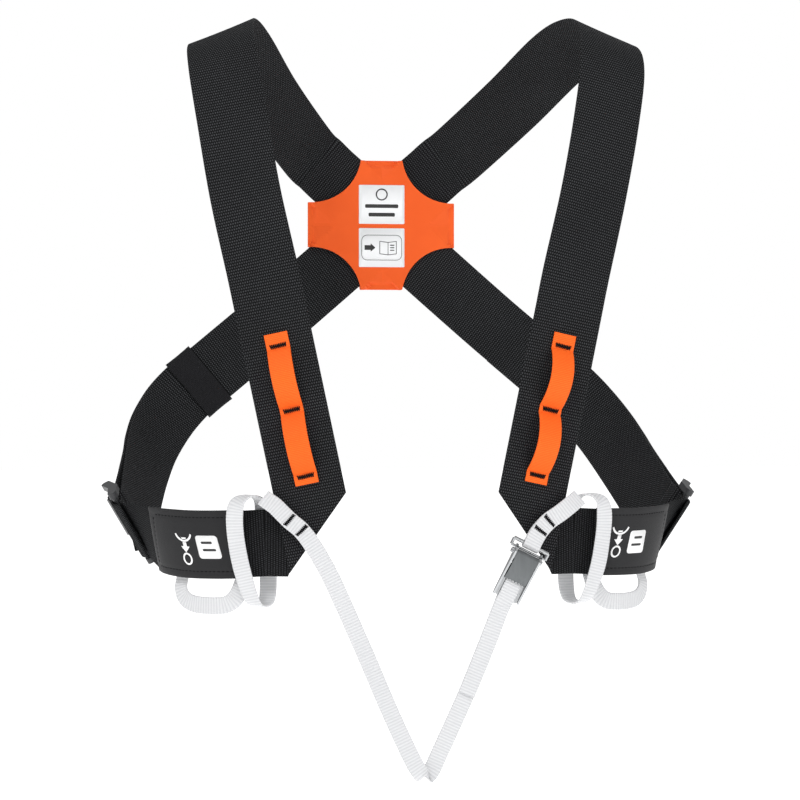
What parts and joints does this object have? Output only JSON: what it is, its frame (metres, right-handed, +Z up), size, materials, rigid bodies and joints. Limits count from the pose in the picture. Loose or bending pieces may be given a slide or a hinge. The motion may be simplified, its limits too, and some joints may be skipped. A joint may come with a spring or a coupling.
{
  "type": "safety harness vest",
  "caption": "Chest harness vest: black straps cross in an orange back plate, meet side panels in ladder locks and close in front with a white yoke strap and cam buckle.",
  "frame": {"origin": "between the shoulders, level with the tops of the straps' neck side, in the middle of the wearer's torso: the place of the torso mount", "axes": "+Z up the wearer's body, -Y the way the wearer faces, +X to the right as seen from in front (the wearer's left)"},
  "size_m": [0.3992, 0.2458, 0.4935],
  "materials": {
    "black_webbing": "dense ribbed polyester webbing",
    "orange_coated_fabric": "smooth coated fabric",
    "orange_seam": "sewn hem",
    "white_patch": "printed woven patch",
    "grey_coated_fabric": "smooth coated fabric",
    "white_print": "printed film",
    "orange_webbing": "fine ribbed webbing",
    "black_thread": "close zigzag stitching",
    "black_elastic": "woven elastic",
    "black_nylon": "moulded nylon",
    "white_webbing": "ribbed sling webbing",
    "steel": "stamped and polished",
    "grey_steel": "stamped, dark grey"
  },
  "bodies": {
    "harness": {"main_strap_left": "black_webbing", "main_strap_right": "black_webbing", "back_plate_inner": "orange_coated_fabric", "back_plate_outer": "orange_coated_fabric", "back_plate_seams": "orange_seam", "care_label_top": "white_patch", "care_label_bottom": "white_patch", "side_panel_left": "black_webbing", "side_panel_right": "black_webbing", "panel_cover_left": "grey_coated_fabric", "panel_cover_right": "grey_coated_fabric", "panel_badge_left": "white_print", "panel_badge_right": "white_print", "chest_loops_left": "orange_webbing", "chest_loops_right": "orange_webbing", "chest_tacks_left": "black_thread", "chest_tacks_right": "black_thread"},
    "keeper_left": {"keeper_left": "black_elastic"},
    "keeper_right": {"keeper_right": "black_elastic"},
    "ladder_lock_left": {"ladder_lock_left": "black_nylon"},
    "ladder_lock_right": {"ladder_lock_right": "black_nylon"},
    "cinch_rings": {"ring_left": "white_webbing", "ring_right": "white_webbing"},
    "front_yoke": {"yoke_strap": "white_webbing", "yoke_tail": "white_webbing", "anchor_strap": "white_webbing", "yoke_tacks": "black_thread", "buckle_frame": "steel", "cam_pin": "steel", "cam_spring": "steel"},
    "cam_lever": {"buckle_cam": "grey_steel"},
    "gear_loop_left": {"gear_loop_left": "white_webbing"},
    "gear_loop_right": {"gear_loop_right": "white_webbing"}
  },
  "joints": [
    {"name": "keeper_left_slide", "type": "slide", "parent": "harness", "child": "keeper_left", "axis": [0.769, 0, 0.6392], "range_m": [-0.002, 0.025]},
    {"name": "keeper_right_slide", "type": "slide", "parent": "harness", "child": "keeper_right", "axis": [-0.769, 0, 0.6392], "range_m": [-0.002, 0.025]},
    {"name": "lock_left_tilt", "type": "hinge", "parent": "harness", "child": "ladder_lock_left", "pos_m": [-0.17957, -0.02279, -0.32714], "axis": [-0.4861, -0.2398, 0.8404], "range_deg": [0, 10]},
    {"name": "lock_right_tilt", "type": "hinge", "parent": "harness", "child": "ladder_lock_right", "pos_m": [0.17957, -0.02279, -0.32714], "axis": [-0.4861, 0.2398, -0.8404], "range_deg": [0, 10]},
    {"name": "rings_slide", "type": "slide", "parent": "harness", "child": "cinch_rings", "axis": [1, 0, 0], "range_m": [-0.003, 0.003]},
    {"name": "yoke_swing", "type": "hinge", "parent": "cinch_rings", "child": "front_yoke", "pos_m": [0, -0.112, -0.303], "axis": [-1, 0, 0], "range_deg": [0, 70]},
    {"name": "cam_lift", "type": "hinge", "parent": "front_yoke", "child": "cam_lever", "pos_m": [0.06467, -0.126, -0.34183], "axis": [-0.8949, 0, 0.4462], "range_deg": [0, 60], "stiffness_Nm_per_rad": 0.02, "springref_deg": -17.19},
    {"name": "gear_loop_left_swing", "type": "hinge", "parent": "harness", "child": "gear_loop_left", "pos_m": [-0.125, -0.088, -0.347], "axis": [0.8689, -0.495, 0], "range_deg": [-5, 10]},
    {"name": "gear_loop_right_swing", "type": "hinge", "parent": "harness", "child": "gear_loop_right", "pos_m": [0.125, -0.088, -0.347], "axis": [0.8689, 0.495, 0], "range_deg": [-5, 10]}
  ]
}
